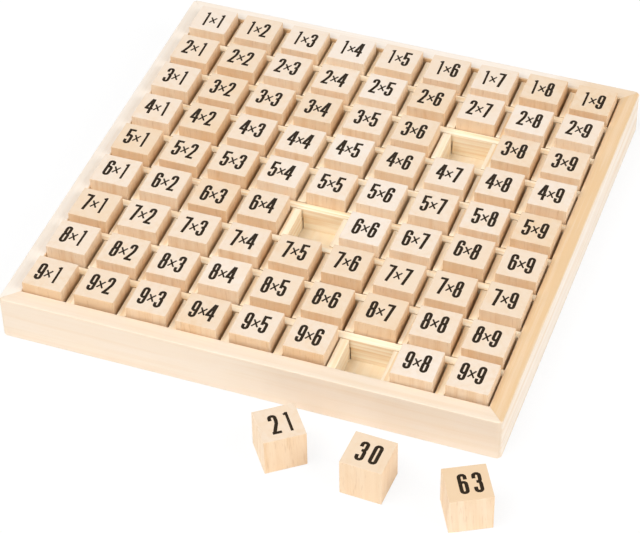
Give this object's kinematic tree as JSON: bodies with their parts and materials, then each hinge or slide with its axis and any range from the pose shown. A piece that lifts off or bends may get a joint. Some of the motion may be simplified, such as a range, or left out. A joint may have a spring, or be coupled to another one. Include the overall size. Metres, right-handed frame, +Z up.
{
  "type": "multiplication board",
  "caption": "Square wooden tray split into cells by crossed slats, with numbered wooden cubes that lift out to show a sum on one face and its product on the other.",
  "frame": {"origin": "middle of the tray's underside, on the surface that it stands on", "axes": "+X along the rows from the first column to the last, +Y from the front row to the back row, +Z up out of the cells"},
  "size_m": [0.2358, 0.2729, 0.0266],
  "materials": {
    "rail_wood": "sanded pale wood with a thin clear coat",
    "board_wood": "sanded pale plywood",
    "slat_wood": "sanded pale wood, uncoated",
    "cube_wood": "sanded pale hardwood with eased edges",
    "ink": "matt dark print"
  },
  "bodies": {
    "tray": {"front_rail": "rail_wood", "right_rail": "rail_wood", "back_rail": "rail_wood", "left_rail": "rail_wood", "base_board": "board_wood", "row_slat_1": "slat_wood", "row_slat_2": "slat_wood", "row_slat_3": "slat_wood", "row_slat_4": "slat_wood", "row_slat_5": "slat_wood", "row_slat_6": "slat_wood", "row_slat_7": "slat_wood", "row_slat_8": "slat_wood", "column_slat_1": "slat_wood", "column_slat_2": "slat_wood", "column_slat_3": "slat_wood", "column_slat_4": "slat_wood", "column_slat_5": "slat_wood", "column_slat_6": "slat_wood", "column_slat_7": "slat_wood", "column_slat_8": "slat_wood"},
    "row_1": {"row_1_cubes": "cube_wood"},
    "row_2": {"row_2_cubes": "cube_wood"},
    "row_4": {"row_4_cubes": "cube_wood"},
    "row_5": {"row_5_cubes": "cube_wood"},
    "row_7": {"row_7_cubes": "cube_wood"},
    "row_8": {"row_8_cubes": "cube_wood"},
    "cube_3x1": {"cube_3x1": "cube_wood"},
    "cube_3x2": {"cube_3x2": "cube_wood"},
    "cube_3x3": {"cube_3x3": "cube_wood"},
    "cube_3x4": {"cube_3x4": "cube_wood"},
    "cube_3x5": {"cube_3x5": "cube_wood"},
    "cube_3x6": {"cube_3x6": "cube_wood"},
    "cube_3x8": {"cube_3x8": "cube_wood"},
    "cube_3x9": {"cube_3x9": "cube_wood"},
    "cube_6x1": {"cube_6x1": "cube_wood"},
    "cube_6x2": {"cube_6x2": "cube_wood"},
    "cube_6x3": {"cube_6x3": "cube_wood"},
    "cube_6x4": {"cube_6x4": "cube_wood"},
    "cube_6x6": {"cube_6x6": "cube_wood"},
    "cube_6x7": {"cube_6x7": "cube_wood"},
    "cube_6x8": {"cube_6x8": "cube_wood"},
    "cube_6x9": {"cube_6x9": "cube_wood"},
    "cube_9x1": {"cube_9x1": "cube_wood"},
    "cube_9x2": {"cube_9x2": "cube_wood"},
    "cube_9x3": {"cube_9x3": "cube_wood"},
    "cube_9x4": {"cube_9x4": "cube_wood"},
    "cube_9x5": {"cube_9x5": "cube_wood"},
    "cube_9x6": {"cube_9x6": "cube_wood"},
    "cube_9x8": {"cube_9x8": "cube_wood"},
    "cube_9x9": {"cube_9x9": "cube_wood"},
    "cube_21": {"cube_21": "cube_wood"},
    "cube_30": {"cube_30": "cube_wood"},
    "cube_63": {"cube_63": "cube_wood"}
  },
  "joints": [
    {"name": "lift_row_1", "type": "slide", "parent": "tray", "child": "row_1", "axis": [0, 0, 1], "range_m": [0, 0.02]},
    {"name": "lift_row_2", "type": "slide", "parent": "tray", "child": "row_2", "axis": [0, 0, 1], "range_m": [0, 0.02]},
    {"name": "lift_row_4", "type": "slide", "parent": "tray", "child": "row_4", "axis": [0, 0, 1], "range_m": [0, 0.02]},
    {"name": "lift_row_5", "type": "slide", "parent": "tray", "child": "row_5", "axis": [0, 0, 1], "range_m": [0, 0.02]},
    {"name": "lift_row_7", "type": "slide", "parent": "tray", "child": "row_7", "axis": [0, 0, 1], "range_m": [0, 0.02]},
    {"name": "lift_row_8", "type": "slide", "parent": "tray", "child": "row_8", "axis": [0, 0, 1], "range_m": [0, 0.02]},
    {"name": "lift_3x1", "type": "slide", "parent": "tray", "child": "cube_3x1", "axis": [0, 0, 1], "range_m": [0, 0.02]},
    {"name": "lift_3x2", "type": "slide", "parent": "tray", "child": "cube_3x2", "axis": [0, 0, 1], "range_m": [0, 0.02]},
    {"name": "lift_3x3", "type": "slide", "parent": "tray", "child": "cube_3x3", "axis": [0, 0, 1], "range_m": [0, 0.02]},
    {"name": "lift_3x4", "type": "slide", "parent": "tray", "child": "cube_3x4", "axis": [0, 0, 1], "range_m": [0, 0.02]},
    {"name": "lift_3x5", "type": "slide", "parent": "tray", "child": "cube_3x5", "axis": [0, 0, 1], "range_m": [0, 0.02]},
    {"name": "lift_3x6", "type": "slide", "parent": "tray", "child": "cube_3x6", "axis": [0, 0, 1], "range_m": [0, 0.02]},
    {"name": "lift_3x8", "type": "slide", "parent": "tray", "child": "cube_3x8", "axis": [0, 0, 1], "range_m": [0, 0.02]},
    {"name": "lift_3x9", "type": "slide", "parent": "tray", "child": "cube_3x9", "axis": [0, 0, 1], "range_m": [0, 0.02]},
    {"name": "lift_6x1", "type": "slide", "parent": "tray", "child": "cube_6x1", "axis": [0, 0, 1], "range_m": [0, 0.02]},
    {"name": "lift_6x2", "type": "slide", "parent": "tray", "child": "cube_6x2", "axis": [0, 0, 1], "range_m": [0, 0.02]},
    {"name": "lift_6x3", "type": "slide", "parent": "tray", "child": "cube_6x3", "axis": [0, 0, 1], "range_m": [0, 0.02]},
    {"name": "lift_6x4", "type": "slide", "parent": "tray", "child": "cube_6x4", "axis": [0, 0, 1], "range_m": [0, 0.02]},
    {"name": "lift_6x6", "type": "slide", "parent": "tray", "child": "cube_6x6", "axis": [0, 0, 1], "range_m": [0, 0.02]},
    {"name": "lift_6x7", "type": "slide", "parent": "tray", "child": "cube_6x7", "axis": [0, 0, 1], "range_m": [0, 0.02]},
    {"name": "lift_6x8", "type": "slide", "parent": "tray", "child": "cube_6x8", "axis": [0, 0, 1], "range_m": [0, 0.02]},
    {"name": "lift_6x9", "type": "slide", "parent": "tray", "child": "cube_6x9", "axis": [0, 0, 1], "range_m": [0, 0.02]},
    {"name": "lift_9x1", "type": "slide", "parent": "tray", "child": "cube_9x1", "axis": [0, 0, 1], "range_m": [0, 0.02]},
    {"name": "lift_9x2", "type": "slide", "parent": "tray", "child": "cube_9x2", "axis": [0, 0, 1], "range_m": [0, 0.02]},
    {"name": "lift_9x3", "type": "slide", "parent": "tray", "child": "cube_9x3", "axis": [0, 0, 1], "range_m": [0, 0.02]},
    {"name": "lift_9x4", "type": "slide", "parent": "tray", "child": "cube_9x4", "axis": [0, 0, 1], "range_m": [0, 0.02]},
    {"name": "lift_9x5", "type": "slide", "parent": "tray", "child": "cube_9x5", "axis": [0, 0, 1], "range_m": [0, 0.02]},
    {"name": "lift_9x6", "type": "slide", "parent": "tray", "child": "cube_9x6", "axis": [0, 0, 1], "range_m": [0, 0.02]},
    {"name": "lift_9x8", "type": "slide", "parent": "tray", "child": "cube_9x8", "axis": [0, 0, 1], "range_m": [0, 0.02]},
    {"name": "lift_9x9", "type": "slide", "parent": "tray", "child": "cube_9x9", "axis": [0, 0, 1], "range_m": [0, 0.02]},
    {"name": "lift_21", "type": "slide", "parent": "tray", "child": "cube_21", "axis": [0, 0, 1], "range_m": [0, 0.02]},
    {"name": "lift_30", "type": "slide", "parent": "tray", "child": "cube_30", "axis": [0, 0, 1], "range_m": [0, 0.02]},
    {"name": "lift_63", "type": "slide", "parent": "tray", "child": "cube_63", "axis": [0, 0, 1], "range_m": [0, 0.02]}
  ]
}
